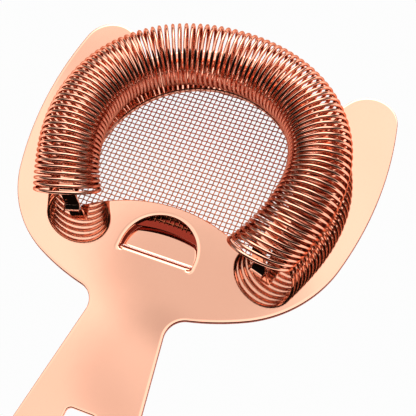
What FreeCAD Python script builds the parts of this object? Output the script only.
"""Hawthorne strainer: pressed plate with handle, captive coil spring, woven mesh
window and the ring that clamps the mesh to the back of the plate.

Frame: millimetres. The face of the plate that carries the spring is z = 0 and the
spring stands up from it in +Z. The handle runs along -Y, the two rim ears point
to +Y, and the X axis runs across the ears. The origin is the centre of the spring
ring. "Front" is +Y, and a "reach" is a distance behind the origin, along -Y.
"""
import FreeCAD, Part
import Sketcher
import math
import os

V = FreeCAD.Vector
doc = FreeCAD.newDocument("hawthorne_strainer")

# ----------------------------------------------------------------------------
# Driving dimensions: alias, value, note
# ----------------------------------------------------------------------------
SHEET = "Dimensions"
DIMS = [
    # plate blank
    ("plate_thickness", 1.0, "sheet gauge of the plate"),
    ("head_base_radius", 74.5, "shallow curve of the head beside the neck"),
    ("head_base_reach", 44.5, "how far that curve reaches behind the origin"),
    ("head_corner_radius", 36.0, "curve between base and flank"),
    ("head_flank_radius", 110.0, "long curve of each flank"),
    ("head_flank_centre_x", 55.0, "flank curve centre, beyond the axis from its flank"),
    ("head_flank_centre_y", 13.0, "flank curve centre, along the axis"),
    ("ear_radius", 9.2, "rounded tip of each rim ear"),
    ("ear_centre_y", 35.3, "centre of the ear tip along the axis"),
    ("ear_inner_angle", 56.0, "slope of the inner edge of each ear"),
    ("ring_centre_y", 0.0, "centre of the spring ring and the front edge"),
    ("front_radius", 46.3, "front edge of the plate between the ears"),
    ("ear_root_radius", 4.0, "inside corner at the root of each ear"),
    # handle
    ("neck_half_width", 11.7, "half width of the handle at the neck"),
    ("neck_line_reach", 45.0, "distance of the neck behind the origin"),
    ("neck_overlap", 8.0, "how far the handle outline runs on into the head"),
    ("neck_fillet_radius", 6.0, "inside corners between head and handle"),
    ("handle_end_half_width", 19.6, "half width where the side lines end"),
    ("handle_side_reach", 96.0, "distance where the side lines end"),
    ("handle_end_radius", 42.0, "curve across the end of the handle"),
    ("handle_corner_radius", 9.0, "rounded corners of the handle end"),
    ("slot_half_width", 4.6, "hanging slot, half width"),
    ("slot_near_reach", 77.3, "hanging slot, nearer end"),
    ("slot_far_reach", 92.5, "hanging slot, farther end"),
    ("slot_corner_radius", 1.5, "hanging slot, corner radius"),
    # mesh window
    ("window_radius", 31.0, "round part of the mesh window"),
    ("window_centre_y", 0.8, "centre of that round part"),
    ("tongue_radius", 48.0, "curved edge of the tongue into the window"),
    ("tongue_centre_reach", 58.4, "centre of the tongue curve behind the origin"),
    # finger opening and tab
    ("opening_radius", 11.6, "half-round finger opening"),
    ("opening_centre_reach", 25.4, "centre of that half round behind the origin"),
    ("hinge_reach", 28.25, "straight edge of the opening, the tab's bend line"),
    ("opening_corner_radius", 0.85, "corners at the bend line"),
    ("tab_overlap", 1.6, "flat root of the tab that lies in the plate"),
    ("tab_setback", 0.25, "start of the first bend behind the bend line"),
    ("tab_step_angle", 65.0, "steepest angle in the joggle at the bend"),
    ("tab_outer_bend", 2.0, "upper face radius of the bend next to the plate"),
    ("tab_inner_bend", 1.0, "upper face radius of the bend next to the flat"),
    ("tab_step_straight", 1.233, "straight wall between the two bends"),
    ("tab_length", 8.5, "flat length of the tab, before trimming round"),
    ("tab_crown_radius", 28.0, "free edge of the tab, seen from above"),
    ("tab_crown_reach", 16.95, "middle of that free edge behind the origin"),
    ("tab_corner_radius", 3.5, "corners between the free edge and the round sides"),
    ("tab_half_width", 11.45, "half width of the tab"),
    ("tab_root_half_width", 10.6, "half width of the tab at the bend line"),
    ("tab_root_front", 0.15, "end of that narrow root in front of the bend line"),
    # spring prongs
    ("prong_foot_x", 30.2, "face of the riser, across the axis"),
    ("prong_foot_reach", 20.4, "face of the riser behind the origin"),
    ("prong_angle", 16.3, "turn of each prong outward from the axis"),
    ("prong_width", 4.4, "width of each prong"),
    ("prong_overlap", 2.0, "flat root of the prong that lies in the plate"),
    ("prong_height", 11.0, "top of the finger above the plate"),
    ("prong_root_bend", 2.0, "inside radius of the bend at the plate"),
    ("prong_top_bend", 1.0, "inside radius of the bend at the top"),
    ("prong_finger_length", 14.2, "length of the finger in the spring"),
    ("prong_tip_radius", 1.6, "rounded corners of the finger"),
    ("prong_relief", 0.2, "gap each side of the prong at its root"),
    ("relief_length", 7.0, "how far the relief runs in front of the riser face"),
    # spring
    ("spring_outer_radius", 9.5, "outside radius of the coil"),
    ("spring_wire_diameter", 1.05, "wire of the coil"),
    ("spring_turns", 96.0, "number of turns"),
    ("spring_half_span", 123.5, "angle from the front to each end"),
    ("spring_end_start", 78.0, "angle from the front where the end turns begin to tilt"),
    ("spring_end_power", 1.15, "how sharply the tilt grows from there to the end"),
    ("spring_end_crowding", 2.2, "turns pushed together at each end"),
    ("spring_end_pitch", 0.97, "pitch of the end turns as a share of the others"),
    ("spring_front_spread", 0.12, "share by which the turns stand wider apart at the front"),
    ("spring_front_angle", 7.0, "middle of that wider stretch"),
    ("spring_front_width", 18.0, "angular width of that wider stretch"),
    ("spring_flank_crowding", 0.12, "share by which the turns stand closer on the -X flank"),
    ("spring_flank_angle", 64.0, "middle of that closer stretch"),
    ("spring_flank_width", 22.0, "angular width of that closer stretch"),
    ("spring_lean", 35.0, "tilt of the end turns toward the handle"),
    ("spring_middle_lean", 3.8, "tilt of the other turns, all one way"),
    ("spring_yaw", 15.0, "swing of the end turns about the vertical"),
    ("spring_end_growth", 0.7, "how much wider the radius of the last turns is"),
    ("spring_clearance", 0.06, "gap between spring and plate"),
    ("ring_mean_radius", 38.23, "mean radius of the bowed centre line"),
    ("ring_oval", 0.029, "second harmonic of the bow"),
    ("ring_square", -0.043, "third harmonic of the bow"),
    # mesh
    ("mesh_pitch", 1.47, "pitch of the woven mesh"),
    ("mesh_wire_diameter", 0.30, "wire of the mesh"),
    ("mesh_gap", 0.02, "air between the layers"),
    ("mesh_edge_radius", 38.7, "round edge of the cut mesh"),
    ("mesh_edge_tongue_radius", 42.5, "edge of the cut mesh under the tongue"),
    # retaining ring
    ("ring_flange_radius", 41.0, "outer edge of the flange"),
    ("ring_flange_tongue_radius", 40.2, "edge of the flange by the tab"),
    ("ring_wall_radius", 39.6, "outside of the step"),
    ("ring_wall_tongue_radius", 41.55, "outside of the step by the tab"),
    ("ring_pocket_radius", 39.0, "inside of the step"),
    ("ring_pocket_tongue_radius", 42.15, "inside of the step by the tab"),
    ("ring_gauge", 0.6, "sheet gauge of the ring"),
    ("ring_pocket_depth", 0.66, "space the step leaves for the mesh"),
    ("ring_window_margin", 0.5, "how far the lip stays back from the window"),
]
sheet = doc.addObject("Spreadsheet::Sheet", SHEET)
for row, (alias, value, note) in enumerate(DIMS, 1):
    sheet.set("A%d" % row, alias)
    sheet.set("B%d" % row, repr(value))
    sheet.set("C%d" % row, note)
    sheet.setAlias("B%d" % row, alias)
doc.recompute()

# Sketcher's codes for a point of an edge, and for the sketch's vertical axis
START, END, CENTRE = 1, 2, 3
VERTICAL_AXIS = -2

# name and X direction of the two sides
SIDES = (("right", 1.0), ("left", -1.0))

# rectangle that trims the tab, and the back edge of the part it leaves
TRIM_HALF_WIDTH = 20.0
TRIM_BACK_Y, TRIM_FRONT_Y = -34.0, -8.0
KEEP_BACK_Y = -32.0


def size(alias):
    """The number in the sheet under this alias."""
    return float(sheet.get(alias))


class Dim:
    """A number together with the sheet expression that makes it."""

    def __init__(self, value, text):
        self.value, self.text = value, text

    def __add__(self, other):
        other = dim(other)
        return Dim(self.value + other.value, "(%s + %s)" % (self.text, other.text))

    def __sub__(self, other):
        other = dim(other)
        return Dim(self.value - other.value, "(%s - %s)" % (self.text, other.text))

    def __mul__(self, other):
        other = dim(other)
        return Dim(self.value * other.value, "(%s * %s)" % (self.text, other.text))

    def __truediv__(self, other):
        other = dim(other)
        return Dim(self.value / other.value, "(%s / %s)" % (self.text, other.text))

    def __neg__(self):
        return Dim(-self.value, "(0 - %s)" % self.text)


def dim(source):
    """Dim from a Dim, a sheet alias or a plain number."""
    if isinstance(source, Dim):
        return source
    if isinstance(source, str):
        return Dim(size(source), "%s.%s" % (SHEET, source))
    return Dim(float(source), "%.6f" % source)


def cosd(angle):
    angle = dim(angle)
    return Dim(math.cos(math.radians(angle.value)), "cos(%s * 1 deg)" % angle.text)


def sind(angle):
    angle = dim(angle)
    return Dim(math.sin(math.radians(angle.value)), "sin(%s * 1 deg)" % angle.text)


def root(square):
    return Dim(math.sqrt(square.value), "sqrt(%s)" % square.text)


# ----------------------------------------------------------------------------
# Sketches
# ----------------------------------------------------------------------------
def new_body(name):
    body = doc.addObject("PartDesign::Body", name)
    body.Label = name
    return body


def origin_plane(body, role):
    return [f for f in body.Origin.OriginFeatures if f.Role == role][0]


def new_sketch(body, name, role):
    sketch = body.newObject("Sketcher::SketchObject", name)
    sketch.AttachmentSupport = [(origin_plane(body, role), "")]
    sketch.MapMode = "FlatFace"
    return sketch


def constrain(sketch, name, quantity, kind, *target):
    """Named dimensional constraint, bound to the sheet if the quantity comes from it."""
    index = sketch.addConstraint(Sketcher.Constraint(kind, *target, quantity.value))
    sketch.renameConstraint(index, name)
    if SHEET in quantity.text:
        sketch.setExpression("Constraints." + name, quantity.text)


def arc_about(centre, radius, start, end):
    """Anticlockwise arc about the centre from start to end."""
    first = math.atan2(start.y - centre.y, start.x - centre.x)
    last = math.atan2(end.y - centre.y, end.x - centre.x)
    if last < first:
        last += 2 * math.pi
    return Part.ArcOfCircle(Part.Circle(centre, V(0, 0, 1), radius), first, last)


def arc_between(start, end, radius, bulge):
    """Minor arc between two points, always drawn anticlockwise. bulge > 0: it bows
    to the right of the way from start to end, bulge < 0: to the left."""
    middle = (start + end) * 0.5
    chord = end - start
    half = chord.Length / 2.0
    rise = math.sqrt(max(radius * radius - half * half, 0.0))
    left = V(-chord.y, chord.x, 0).normalize()
    if bulge > 0:
        return arc_about(middle + left * rise, radius, start, end)
    return arc_about(middle - left * rise, radius, end, start)


def closed_profile(sketch, tag, vertices, segments):
    """Loop of lines and arcs. vertices: (x, y) pairs of Dim or numbers.
    segments[i] joins vertex i to the next: None for a line, or (radius, bulge)."""
    points = [V(dim(x).value, dim(y).value, 0) for x, y in vertices]
    count = len(points)
    edges = []  # edge, its point at vertex i, its point at the next vertex
    for i in range(count):
        here, there = points[i], points[(i + 1) % count]
        if segments[i] is None:
            edge = sketch.addGeometry(Part.LineSegment(here, there), False)
            edges.append((edge, START, END))
            continue
        radius, bulge = dim(segments[i][0]), segments[i][1]
        edge = sketch.addGeometry(arc_between(here, there, radius.value, bulge), False)
        arc = sketch.Geometry[edge]
        forward = arc.StartPoint.distanceToPoint(here) < arc.StartPoint.distanceToPoint(there)
        edges.append((edge, START, END) if forward else (edge, END, START))
        constrain(sketch, "%s_r%d" % (tag, i), radius, "Radius", edge)
    for i in range(count):
        edge, _, tail = edges[i]
        following, head, _ = edges[(i + 1) % count]
        sketch.addConstraint(Sketcher.Constraint("Coincident", edge, tail, following, head))
    for i, (x, y) in enumerate(vertices):
        edge, head, _ = edges[i]
        constrain(sketch, "%s_v%d_x" % (tag, i), dim(x), "DistanceX", edge, head)
        constrain(sketch, "%s_v%d_y" % (tag, i), dim(y), "DistanceY", edge, head)


def outline_sketch(body, name, role, vertices, segments):
    """Sketch that holds one closed profile."""
    sketch = new_sketch(body, name, role)
    closed_profile(sketch, "outline", vertices, segments)
    doc.recompute()
    return sketch


def arched_loop(half, centre_y, low_y, closing):
    """Half round on top of straight sides; closing is the segment across the bottom."""
    return ([(half, centre_y), (dim(0.0), centre_y + half), (-half, centre_y),
             (-half, low_y), (half, low_y)],
            [(half, 1), (half, 1), None, closing, None])


def window_loop(margin):
    """Mesh window, widened all round by the margin: round front, straight sides,
    and a tongue bowed into it from the handle side."""
    half = dim("window_radius") + margin
    tongue = dim("tongue_radius") - margin
    low_y = -dim("tongue_centre_reach") + root(tongue * tongue - half * half)
    return arched_loop(half, dim("window_centre_y"), low_y, (tongue, -1))


# ----------------------------------------------------------------------------
# Features of a body
# ----------------------------------------------------------------------------
def pad(body, name, sketch, length, reverse=False, midplane=False):
    feature = body.newObject("PartDesign::Pad", name)
    feature.Profile = sketch
    feature.Length = dim(length).value
    feature.setExpression("Length", dim(length).text)
    feature.Reversed = reverse
    if midplane:
        feature.SideType = "Symmetric"
    body.Tip = feature
    doc.recompute()
    return feature


def pocket(body, name, sketch, depth=None):
    """Cut, right through if no depth is given. It must remove material."""
    before = body.Shape.Volume
    feature = body.newObject("PartDesign::Pocket", name)
    feature.Profile = sketch
    if depth is None:
        feature.Type = "ThroughAll"
        feature.SideType = "Symmetric"
    else:
        feature.Length = dim(depth).value
        feature.setExpression("Length", dim(depth).text)
    body.Tip = feature
    doc.recompute()
    if not body.Shape.Volume < before - 1e-4:
        raise RuntimeError("pocket %s removed nothing" % name)


def vertical_edges(shape, spots, reach):
    """Names of the straight edges along Z nearest to each (x, y) spot."""
    names = []
    for x, y in spots:
        nearest, name = None, None
        for i, edge in enumerate(shape.Edges, 1):
            low, high = edge.Vertexes[0].Point, edge.Vertexes[-1].Point
            if math.hypot(low.x - high.x, low.y - high.y) > 1e-4 or abs(low.z - high.z) < 0.2:
                continue
            distance = math.hypot(low.x - x, low.y - y)
            if nearest is None or distance < nearest:
                nearest, name = distance, "Edge%d" % i
        if nearest is None or nearest > reach:
            raise RuntimeError("no edge near %.2f, %.2f (%s)" % (x, y, nearest))
        names.append(name)
    return names


def round_edges(body, name, spots, radius, reach=1.5):
    """Fillet on the vertical edges at these spots."""
    base = body.Tip
    feature = body.newObject("PartDesign::Fillet", name)
    feature.Base = (base, vertical_edges(base.Shape, spots, reach))
    feature.Radius = dim(radius).value
    feature.setExpression("Radius", dim(radius).text)
    body.Tip = feature
    doc.recompute()
    if feature.Shape.isNull() or not feature.Shape.isValid():
        raise RuntimeError("fillet %s failed" % name)


# ----------------------------------------------------------------------------
# Plate blank: head and handle, slot, window, prong reliefs, finger opening
# ----------------------------------------------------------------------------
HEAD_RADII = {"base": "head_base_radius", "corner": "head_corner_radius",
              "flank": "head_flank_radius", "ear": "ear_radius", "front": "front_radius"}


def head_layout():
    """Arc centres, and joints in order, of the +X half of the head: base point,
    base/corner, corner/flank, flank/ear, ear/edge, edge/front, front point."""
    radius = {name: size(alias) for name, alias in HEAD_RADII.items()}
    base_y = -size("head_base_reach")
    base = V(0, base_y + radius["base"], 0)
    flank = V(-size("head_flank_centre_x"), size("head_flank_centre_y"), 0)
    front = V(0, size("ring_centre_y"), 0)

    # the corner circle touches the base and flank circles from inside
    gap = flank.distanceToPoint(base)
    toward = (flank - base).normalize()
    base_offset = radius["base"] - radius["corner"]
    flank_offset = radius["flank"] - radius["corner"]
    along = (base_offset ** 2 - flank_offset ** 2 + gap * gap) / (2 * gap)
    across = math.sqrt(base_offset ** 2 - along * along)
    candidates = [base + toward * along + V(-toward.y, toward.x, 0) * (sign * across)
                  for sign in (1, -1)]
    corner = max(candidates, key=lambda centre: centre.x)

    # the ear circle touches the flank circle from inside
    ear_y = size("ear_centre_y")
    ear_rise = ear_y - flank.y
    ear = V(flank.x + math.sqrt((radius["flank"] - radius["ear"]) ** 2 - ear_rise ** 2), ear_y, 0)

    # the straight inner edge leaves the ear at a tangent and ends on the front arc
    slope = math.radians(size("ear_inner_angle"))
    edge_start = ear + V(-math.sin(slope), math.cos(slope), 0) * radius["ear"]
    edge_way = V(-math.cos(slope), -math.sin(slope), 0)
    offset = edge_start - front
    inward = -offset.dot(edge_way)
    excess = offset.dot(offset) - radius["front"] ** 2
    edge_end = edge_start + edge_way * (inward - math.sqrt(inward * inward - excess))

    centres = {"base": base, "corner": corner, "flank": flank, "ear": ear, "front": front}
    joints = [
        V(0, base_y, 0),
        base + (corner - base).normalize() * radius["base"],
        flank + (corner - flank).normalize() * radius["flank"],
        flank + (ear - flank).normalize() * radius["flank"],
        edge_start,
        edge_end,
        front + V(0, radius["front"], 0),
    ]
    return centres, joints


def head_sketch(body, centres, joints):
    """Outline of the +X half of the head, closed along the Y axis."""
    sketch = new_sketch(body, "head_outline", "XY_Plane")
    edge = {}
    for i, name in enumerate(("base", "corner", "flank", "ear", "ear_edge", "front", "axis")):
        start, end = joints[i], joints[(i + 1) % len(joints)]
        if name in HEAD_RADII:
            shape = arc_about(centres[name], size(HEAD_RADII[name]), start, end)
        else:
            shape = Part.LineSegment(start, end)
        edge[name] = sketch.addGeometry(shape, False)
    for kind, one, other in (("Tangent", "base", "corner"), ("Tangent", "corner", "flank"),
                             ("Tangent", "flank", "ear"), ("Tangent", "ear", "ear_edge"),
                             ("Coincident", "ear_edge", "front"),
                             ("Coincident", "front", "axis"), ("Coincident", "axis", "base")):
        sketch.addConstraint(Sketcher.Constraint(kind, edge[one], END, edge[other], START))
    for name, point in (("axis", START), ("axis", END), ("base", CENTRE), ("front", CENTRE)):
        sketch.addConstraint(
            Sketcher.Constraint("PointOnObject", edge[name], point, VERTICAL_AXIS))
    for name, alias in HEAD_RADII.items():
        constrain(sketch, alias, dim(alias), "Radius", edge[name])
    for label, quantity, kind, name, point in (
            ("base_point", -dim("head_base_reach"), "DistanceY", "base", START),
            ("flank_x", -dim("head_flank_centre_x"), "DistanceX", "flank", CENTRE),
            ("flank_y", dim("head_flank_centre_y"), "DistanceY", "flank", CENTRE),
            ("ear_y", dim("ear_centre_y"), "DistanceY", "ear", CENTRE),
            ("front_y", dim("ring_centre_y"), "DistanceY", "front", CENTRE)):
        constrain(sketch, label, quantity, kind, edge[name], point)
    edge_angle = Dim(math.radians(180.0 + size("ear_inner_angle")),
                     "(180 + %s.ear_inner_angle) * 1 deg" % SHEET)
    constrain(sketch, "ear_edge", edge_angle, "Angle", edge["ear_edge"])
    doc.recompute()
    return sketch


def add_head(blank, centres, joints):
    half = pad(blank, "head_half", head_sketch(blank, centres, joints),
               "plate_thickness", reverse=True)
    whole = blank.newObject("PartDesign::Mirrored", "head_whole")
    whole.Originals = [half]
    whole.MirrorPlane = (origin_plane(blank, "YZ_Plane"), [""])
    blank.Tip = whole
    doc.recompute()
    if whole.Shape.Volume < 1.9 * half.Shape.Volume:
        raise RuntimeError("the head was not mirrored")


def add_handle(blank, base_centre, ear_root):
    """Flared handle, then the rounded corners of the whole outline."""
    neck, end = dim("neck_half_width"), dim("handle_end_half_width")
    overlap = dim("neck_overlap")
    flare = (end - neck) / (dim("handle_side_reach") - dim("neck_line_reach"))
    top = neck - flare * overlap
    top_y = -dim("neck_line_reach") + overlap
    end_y = -dim("handle_side_reach")
    sketch = outline_sketch(blank, "handle_outline", "XY_Plane",
                            [(-top, top_y), (-end, end_y), (end, end_y), (top, top_y)],
                            [None, ("handle_end_radius", 1), None, None])
    pad(blank, "handle", sketch, "plate_thickness", reverse=True)

    # close in on the point where the handle side meets the base curve of the head
    base_radius = size("head_base_radius")
    neck_x = neck.value
    for _ in range(20):
        neck_y = base_centre.y - math.sqrt(base_radius ** 2 - neck_x ** 2)
        neck_x = neck.value + flare.value * (-size("neck_line_reach") - neck_y)
    for name, x, y, radius, reach in (
            ("neck_fillets", neck_x, neck_y, "neck_fillet_radius", 3.0),
            ("handle_corners", end.value, end_y.value, "handle_corner_radius", 1.5),
            ("ear_roots", ear_root.x, ear_root.y, "ear_root_radius", 1.5)):
        round_edges(blank, name, [(x, y), (-x, y)], radius, reach)


def cut_slot(blank):
    half, near, far = dim("slot_half_width"), -dim("slot_near_reach"), -dim("slot_far_reach")
    sketch = outline_sketch(blank, "slot_outline", "XY_Plane",
                            [(-half, near), (-half, far), (half, far), (half, near)], [None] * 4)
    pocket(blank, "slot", sketch)
    spots = [(x, y) for x in (-half.value, half.value) for y in (near.value, far.value)]
    round_edges(blank, "slot_corners", spots, "slot_corner_radius")


def cut_reliefs(blank):
    """Rectangle at the root of each prong, where the sheet was cut before bending."""
    cosine, sine = cosd("prong_angle"), sind("prong_angle")
    foot_x, foot_y = dim("prong_foot_x"), -dim("prong_foot_reach")
    half = dim("prong_width") * 0.5 + dim("prong_relief")
    back, front = -dim("prong_root_bend"), dim("relief_length")
    for side, sign in SIDES:
        corners = [((foot_x + along * sine + across * cosine) * sign,
                    foot_y + along * cosine - across * sine)
                   for along, across in ((back, -half), (back, half),
                                         (front, half), (front, -half))]
        sketch = outline_sketch(blank, "relief_outline_" + side, "XY_Plane", corners, [None] * 4)
        pocket(blank, "relief_" + side, sketch)


def cut_opening(blank):
    radius, hinge_y = dim("opening_radius"), -dim("hinge_reach")
    loop = arched_loop(radius, -dim("opening_centre_reach"), hinge_y, None)
    pocket(blank, "opening", outline_sketch(blank, "opening_outline", "XY_Plane", *loop))
    round_edges(blank, "opening_corners",
                [(radius.value, hinge_y.value), (-radius.value, hinge_y.value)],
                "opening_corner_radius")


def build_blank():
    blank = new_body("plate_blank")
    centres, joints = head_layout()
    add_head(blank, centres, joints)
    add_handle(blank, centres["base"], joints[5])
    cut_slot(blank)
    pocket(blank, "window",
           outline_sketch(blank, "window_outline", "XY_Plane", *window_loop(dim(0.0))))
    cut_reliefs(blank)
    cut_opening(blank)
    return blank


# ----------------------------------------------------------------------------
# Finger tab: joggled down at the straight edge, then flat and parallel to the plate
# ----------------------------------------------------------------------------
def add_tab_strip(tab):
    gauge = dim("plate_thickness")
    outer, inner = dim("tab_outer_bend"), dim("tab_inner_bend")
    sine, cosine = sind("tab_step_angle"), cosd("tab_step_angle")
    wall = dim("tab_step_straight")
    bend_y = -dim("hinge_reach") - dim("tab_setback")
    wall_top = (bend_y + outer * sine, outer * cosine - outer)
    wall_foot = (wall_top[0] + wall * cosine, wall_top[1] - wall * sine)
    flat = (wall_foot[0] + inner * sine, wall_foot[1] + inner * cosine - inner)

    # (y, z) along the upper face from the plate to the free end, then the lower face
    upper = [(bend_y - dim("tab_overlap"), dim(0.0)), (bend_y, dim(0.0)), wall_top,
             wall_foot, flat, (flat[0] + dim("tab_length"), flat[1])]
    lower = [(y - gauge * sine, z - gauge * cosine) if (y, z) in (wall_top, wall_foot)
             else (y, z - gauge) for y, z in upper]
    sketch = outline_sketch(tab, "tab_profile", "YZ_Plane", lower + upper[::-1],
                            [None, (outer - gauge, -1), None, (inner + gauge, 1), None, None,
                             None, (inner, -1), None, (outer, 1), None, None])
    pad(tab, "tab_strip", sketch, dim("tab_half_width") * 2.0, midplane=True)


def trim_tab(tab):
    """Cut away a rectangle round the tab's outline seen from above."""
    half, root_half = dim("tab_half_width"), dim("tab_root_half_width")
    shoulder = half - root_half
    shoulder_y = -dim("hinge_reach") + dim("tab_root_front") + shoulder
    crown_radius, corner_radius = dim("tab_crown_radius"), dim("tab_corner_radius")
    crown_y = -dim("tab_crown_reach")
    side_y = -dim("opening_centre_reach")

    # the corner circle touches the round side and the crown from inside;
    # its centre is taken from the centre of the crown curve
    centre_y = crown_y - crown_radius
    gap = side_y - centre_y
    to_side, to_crown = half - corner_radius, crown_radius - corner_radius
    corner_y = (to_crown * to_crown - to_side * to_side + gap * gap) / (gap * 2.0)
    corner_x = root(to_crown * to_crown - corner_y * corner_y)
    side_touch = (corner_x * half / to_side, side_y + (corner_y - gap) * half / to_side)
    crown_touch = (corner_x * crown_radius / to_crown,
                   centre_y + corner_y * crown_radius / to_crown)

    right = [(root_half, dim(KEEP_BACK_Y)), (root_half, shoulder_y - shoulder),
             (half, shoulder_y), (half, side_y), side_touch, crown_touch]
    left = [(-x, y) for x, y in right]
    corner, side = (corner_radius, 1), (half, 1)
    crown, neck = (crown_radius, 1), (shoulder, 1)

    sketch = new_sketch(tab, "tab_trim", "XY_Plane")
    closed_profile(sketch, "frame",
                   [(-TRIM_HALF_WIDTH, TRIM_BACK_Y), (TRIM_HALF_WIDTH, TRIM_BACK_Y),
                    (TRIM_HALF_WIDTH, TRIM_FRONT_Y), (-TRIM_HALF_WIDTH, TRIM_FRONT_Y)],
                   [None] * 4)
    closed_profile(sketch, "keep", left[:1] + right + [(dim(0.0), crown_y)] + left[:0:-1],
                   [None, None, neck, None, side, corner, crown,
                    crown, corner, side, None, neck, None])
    doc.recompute()
    pocket(tab, "tab_outline", sketch)


def build_tab():
    tab = new_body("finger_tab")
    add_tab_strip(tab)
    trim_tab(tab)
    return tab


# ----------------------------------------------------------------------------
# Prongs: folded up out of the sheet, then forward into the ends of the spring
# ----------------------------------------------------------------------------
def build_prong(side, sign):
    prong = new_body("prong_" + side)
    gauge = dim("plate_thickness")
    low, high = dim("prong_root_bend"), dim("prong_top_bend")
    top, finger = dim("prong_height"), dim("prong_finger_length")
    back = -low - dim("prong_overlap")
    # (y, z): lower and front face out to the finger tip, then back along the other face
    sketch = outline_sketch(
        prong, "prong_profile_" + side, "YZ_Plane",
        [(back, -gauge), (-low, -gauge), (gauge, low), (gauge, top - gauge - high),
         (gauge + high, top - gauge), (finger, top - gauge), (finger, top),
         (gauge + high, top), (dim(0.0), top - gauge - high), (dim(0.0), low),
         (-low, dim(0.0)), (back, dim(0.0))],
        [None, (low + gauge, 1), None, (high, -1), None, None, None,
         (high + gauge, 1), None, (low, -1), None, None])
    pad(prong, "prong_strip_" + side, sketch, "prong_width", midplane=True)
    half = size("prong_width") / 2.0
    round_edges(prong, "prong_tip_" + side, [(half, finger.value), (-half, finger.value)],
                "prong_tip_radius")
    prong.Placement = FreeCAD.Placement(
        V(sign * size("prong_foot_x"), -size("prong_foot_reach"), 0),
        FreeCAD.Rotation(V(0, 0, 1), -sign * size("prong_angle")))
    prong.setExpression("Placement.Base.x",
                        "%s%s.prong_foot_x" % ("" if sign > 0 else "-", SHEET))
    prong.setExpression("Placement.Base.y", "-%s.prong_foot_reach" % SHEET)
    return prong


def build_plate():
    parts = [build_blank(), build_tab()] + [build_prong(side, sign) for side, sign in SIDES]
    doc.recompute()
    plate = doc.addObject("Part::MultiFuse", "strainer_plate")
    plate.Shapes = parts
    plate.Refine = True
    plate.Label = "strainer_plate"
    doc.recompute()
    return plate


# ----------------------------------------------------------------------------
# Retaining ring: pressed sheet ring that clamps the edge of the mesh
# ----------------------------------------------------------------------------
def ring_sketch(ring, name, aliases):
    """Round outline about the ring centre, closed by a curve under the tongue.
    aliases: the common start of the two radius aliases."""
    radius, tongue = dim(aliases + "_radius"), dim(aliases + "_tongue_radius")
    centre_y, tongue_y = dim("ring_centre_y"), -dim("tongue_centre_reach")
    gap = centre_y - tongue_y
    rise = (gap * gap + tongue * tongue - radius * radius) / (gap * 2.0)
    x = root(tongue * tongue - rise * rise)
    y = tongue_y + rise
    return outline_sketch(ring, name + "_outline", "XY_Plane",
                          [(x, y), (radius, centre_y), (dim(0.0), centre_y + radius),
                           (-radius, centre_y), (-x, y)],
                          [(radius, 1)] * 4 + [(tongue, -1)])


def build_ring():
    ring = new_body("mesh_retaining_ring")
    gauge, depth = dim("ring_gauge"), dim("ring_pocket_depth")
    pad(ring, "flange", ring_sketch(ring, "flange", "ring_flange"), gauge, reverse=True)
    pad(ring, "step", ring_sketch(ring, "step", "ring_wall"), gauge + depth, reverse=True)
    pocket(ring, "rebate", ring_sketch(ring, "rebate", "ring_pocket"), depth)
    pocket(ring, "ring_window", outline_sketch(ring, "ring_window_outline", "XY_Plane",
                                               *window_loop(dim("ring_window_margin"))))
    ring.Placement = FreeCAD.Placement(V(0, 0, -size("plate_thickness")), FreeCAD.Rotation())
    ring.setExpression("Placement.Base.z", "-%s.plate_thickness" % SHEET)
    doc.recompute()
    return ring


# ----------------------------------------------------------------------------
# Coil spring: one wire wound round a bowed centre line
# phi is the angle about the ring centre from the front, positive toward -X
# ----------------------------------------------------------------------------
WIRE_RADIUS = size("spring_wire_diameter") / 2.0
COIL_RADIUS = size("spring_outer_radius") - WIRE_RADIUS
HALF_SPAN = math.radians(size("spring_half_span"))
TURNS = size("spring_turns")
STEPS = 8  # wire points in one turn
FACE_TURNS = 4  # turns covered by one face of the wire's skin
STOPS = 494  # intervals in the table of turn counts


def bow(phi):
    """Centre line of the spring in plan."""
    radius = size("ring_mean_radius") * (1 + size("ring_oval") * math.cos(2 * phi)
                                         + size("ring_square") * math.cos(3 * phi))
    return V(-radius * math.sin(phi), size("ring_centre_y") + radius * math.cos(phi), 0)


def end_share(phi):
    """0 over the middle of the spring, rising to 1 at each end."""
    start = math.radians(size("spring_end_start"))
    share = (abs(phi) - start) / (HALF_SPAN - start)
    return 0.0 if share <= 0 else share ** size("spring_end_power")


def turn_frame(phi):
    """Centre, outward and upward directions and radius of the turn at this angle."""
    delta = 1e-3
    tangent = (bow(phi + delta) - bow(phi - delta)).normalize()
    share = end_share(phi)
    side = 1.0 if phi > 0 else -1.0
    yaw = -side * share * math.radians(size("spring_yaw"))
    cosine, sine = math.cos(yaw), math.sin(yaw)
    tangent = V(tangent.x * cosine - tangent.y * sine, tangent.x * sine + tangent.y * cosine, 0)
    outward = V(tangent.y, -tangent.x, 0)
    if outward.dot(V(-math.sin(phi), math.cos(phi), 0)) < 0:
        outward = outward * -1.0
    lean = (math.radians(size("spring_lean")) * share * side
            - math.radians(size("spring_middle_lean")) * (1 - share))
    up = V(tangent.x * math.sin(lean), tangent.y * math.sin(lean), math.cos(lean))
    radius = COIL_RADIUS + size("spring_end_growth") * share ** 3
    centre = bow(phi)
    centre.z = radius * math.cos(lean) + WIRE_RADIUS + size("spring_clearance")
    return centre, outward, up, radius


def hump(phi, place):
    """Bell curve of height 1 at the angle and width named by the place."""
    middle = math.radians(size("spring_%s_angle" % place))
    width = math.radians(size("spring_%s_width" % place))
    return math.exp(-((phi - middle) / width) ** 2)


def density(phi):
    """Turns per degree at this angle, against the even spacing."""
    return (1.0 - size("spring_front_spread") * hump(phi, "front")
            + size("spring_flank_crowding") * hump(phi, "flank"))


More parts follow.
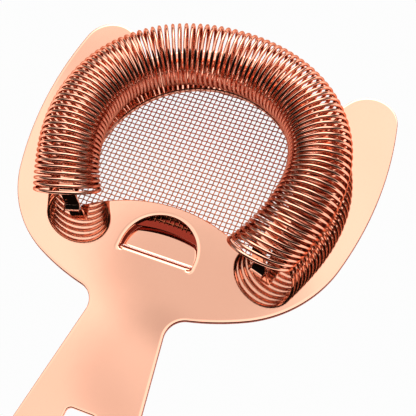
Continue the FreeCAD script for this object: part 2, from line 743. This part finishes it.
# running count of the turns, up to a factor, at evenly spaced angles
stop_angles = [HALF_SPAN * (2.0 * i / STOPS - 1.0) for i in range(STOPS + 1)]
stop_counts = [0.0]
for i in range(STOPS):
    step_count = 0.5 * (density(stop_angles[i]) + density(stop_angles[i + 1]))
    stop_counts.append(stop_counts[-1] + step_count)


def spaced(share):
    """Angle at which this share (0..1) of the turns has been passed, counted from
    the negative end."""
    want = share * stop_counts[-1]
    low, high = 0, STOPS
    while high - low > 1:
        middle = (low + high) // 2
        low, high = (middle, high) if stop_counts[middle] <= want else (low, middle)
    part = (want - stop_counts[low]) / (stop_counts[high] - stop_counts[low])
    return stop_angles[low] + (stop_angles[high] - stop_angles[low]) * part


def advance(share):
    """Distance covered by this share (0..0.5) of the turns, with the end turns closer."""
    crowded = size("spring_end_crowding") / TURNS
    closed = size("spring_end_pitch")
    if share < crowded:
        return closed * share + (1 - closed) * share * share / (2 * crowded)
    return closed * crowded + (1 - closed) * crowded / 2 + (share - crowded)


def turn_angle(k):
    """Angle along the bow at wire point k, counted from the positive end."""
    share = k / (TURNS * STEPS)
    half_all = advance(0.5)
    covered = advance(share) if share <= 0.5 else 2 * half_all - advance(1 - share)
    return spaced(1 - covered / (2 * half_all))


def wire_point(k):
    psi = 2 * math.pi * k / STEPS - math.pi / 2
    centre, outward, up, radius = turn_frame(turn_angle(k))
    return centre + outward * (radius * math.cos(psi)) + up * (radius * math.sin(psi))


def tube(points, radius, references):
    """Closed solid wire of round section along the points.
    references: for each point, a direction that never lines up with the wire."""
    count = len(points)
    params = [float(i) for i in range(count)]
    line = Part.BSplineCurve()
    line.interpolate(Points=points, Parameters=params)
    frames = []
    for i in range(count):
        tangent = line.tangent(params[i])[0]
        normal = references[i]
        normal = (normal - tangent * normal.dot(tangent)).normalize()
        frames.append((normal, tangent.cross(normal)))

    # the section is a rational circle: its poles lie on the square around it
    tracks = []
    for a, b in ((1, 0), (1, 1), (0, 1), (-1, 1), (-1, 0), (-1, -1), (0, -1), (1, -1)):
        track = Part.BSplineCurve()
        track.interpolate(
            Points=[point + normal * (radius * a) + binormal * (radius * b)
                    for point, (normal, binormal) in zip(points, frames)],
            Parameters=params)
        tracks.append(track)
    tracks.append(tracks[0])
    poles = [track.getPoles() for track in tracks]
    weights = [[1.0 if k % 2 == 0 else math.sqrt(0.5)] * len(poles[0]) for k in range(9)]
    surface = Part.BSplineSurface()
    surface.buildFromPolesMultsKnots(poles, [3, 2, 2, 2, 3], tracks[0].getMultiplicities(),
                                     [0.0, 0.25, 0.5, 0.75, 1.0], tracks[0].getKnots(),
                                     False, False, 2, tracks[0].Degree, weights)

    # cut the skin into lengths and close both ends with a flat disc
    lengths = max(1, int(round((count - 1) / (FACE_TURNS * STEPS))))
    faces = []
    for k in range(lengths):
        start, end = (count - 1) * k // lengths, (count - 1) * (k + 1) // lengths
        skin = surface.copy()
        skin.segment(0.0, 1.0, float(start), float(end))
        faces.append(skin.toShape())
    for point, skin in ((points[0], faces[0]), (points[-1], faces[-1])):
        rims = [edge for edge in skin.Edges if edge.Length > radius
                and all((v.Point - point).Length < 1.2 * radius for v in edge.Vertexes)]
        faces.append(Part.Face(Part.Wire(rims[:1])))
    shell = Part.makeShell(faces)
    shell.sewShape()
    solid = Part.Solid(shell if shell.ShapeType == "Shell" else shell.Shells[0])
    if solid.Volume < 0:
        solid.reverse()
    return solid


def add_shape(name, shape):
    feature = doc.addObject("Part::Feature", name)
    feature.Label = name
    feature.Shape = shape
    return feature


def build_spring():
    count = int(round(TURNS * STEPS)) + 1
    path = [wire_point(k) for k in range(count)]
    outward = [(path[k] - turn_frame(turn_angle(k))[0]).normalize() for k in range(count)]
    return add_shape("coil_spring", tube(path, WIRE_RADIUS, outward))


# ----------------------------------------------------------------------------
# Mesh: two layers of straight wires cut to an outline that fits the rebate
# ----------------------------------------------------------------------------
MESH_RADIUS = size("mesh_wire_diameter") / 2.0
MESH_ROWS = 40  # wire places tried each side of the middle
SCAN_LIMIT = 60.0  # each line is scanned this far each side of the middle
SCAN_STEP = 0.01
SHORTEST_WIRE = 2.0


def mesh_spans(fixed, along_y):
    """Stretches of the line at this fixed x or y that lie inside the mesh outline."""
    centre_y, tongue_y = size("ring_centre_y"), -size("tongue_centre_reach")
    edge, tongue_edge = size("mesh_edge_radius"), size("mesh_edge_tongue_radius")
    found, start, previous = [], None, None
    place = -SCAN_LIMIT
    while place <= SCAN_LIMIT:
        x, y = (fixed, place) if along_y else (place, fixed)
        inside = (math.hypot(x, y - centre_y) <= edge
                  and math.hypot(x, y - tongue_y) >= tongue_edge)
        if inside and start is None:
            start = place
        if not inside and start is not None:
            found.append((start, previous))
            start = None
        previous = place
        place += SCAN_STEP
    return [span for span in found if span[1] - span[0] > SHORTEST_WIRE]


def build_mesh_layer(name, along_y, z):
    rods = []
    for k in range(-MESH_ROWS, MESH_ROWS + 1):
        fixed = (k + 0.5) * size("mesh_pitch") + (0.0 if along_y else size("ring_centre_y"))
        for start, end in mesh_spans(fixed, along_y):
            foot = V(fixed, start, z) if along_y else V(start, fixed, z)
            way = V(0, 1, 0) if along_y else V(1, 0, 0)
            rods.append(Part.makeCylinder(MESH_RADIUS, end - start, foot, way))
    return add_shape(name, Part.makeCompound(rods))


# ----------------------------------------------------------------------------
# Build the pieces, check every object, then write one file per piece
# ----------------------------------------------------------------------------
warp_z = -size("plate_thickness") - size("mesh_gap") - MESH_RADIUS
weft_z = warp_z - 2 * MESH_RADIUS - size("mesh_gap")
pieces = [
    build_plate(),
    build_ring(),
    build_spring(),
    build_mesh_layer("mesh_warp_wires", True, warp_z),
    build_mesh_layer("mesh_weft_wires", False, weft_z),
]
doc.recompute()

for obj in doc.Objects:
    if "Invalid" in obj.State or "Error" in obj.State:
        raise RuntimeError("%s did not compute: %s" % (obj.Name, obj.State))
    if obj.isDerivedFrom("Sketcher::SketchObject") and obj.solve() != 0:
        raise RuntimeError("sketch %s is not solved" % obj.Name)

os.makedirs("parts", exist_ok=True)
for piece in pieces:
    shape = piece.Shape
    if shape.isNull() or not shape.isValid():
        raise RuntimeError("%s has no valid shape" % piece.Label)
    if not shape.Solids or any(solid.Volume <= 0 for solid in shape.Solids):
        raise RuntimeError("%s is not solid" % piece.Label)
    shape.exportStep("parts/%s.step" % piece.Label)
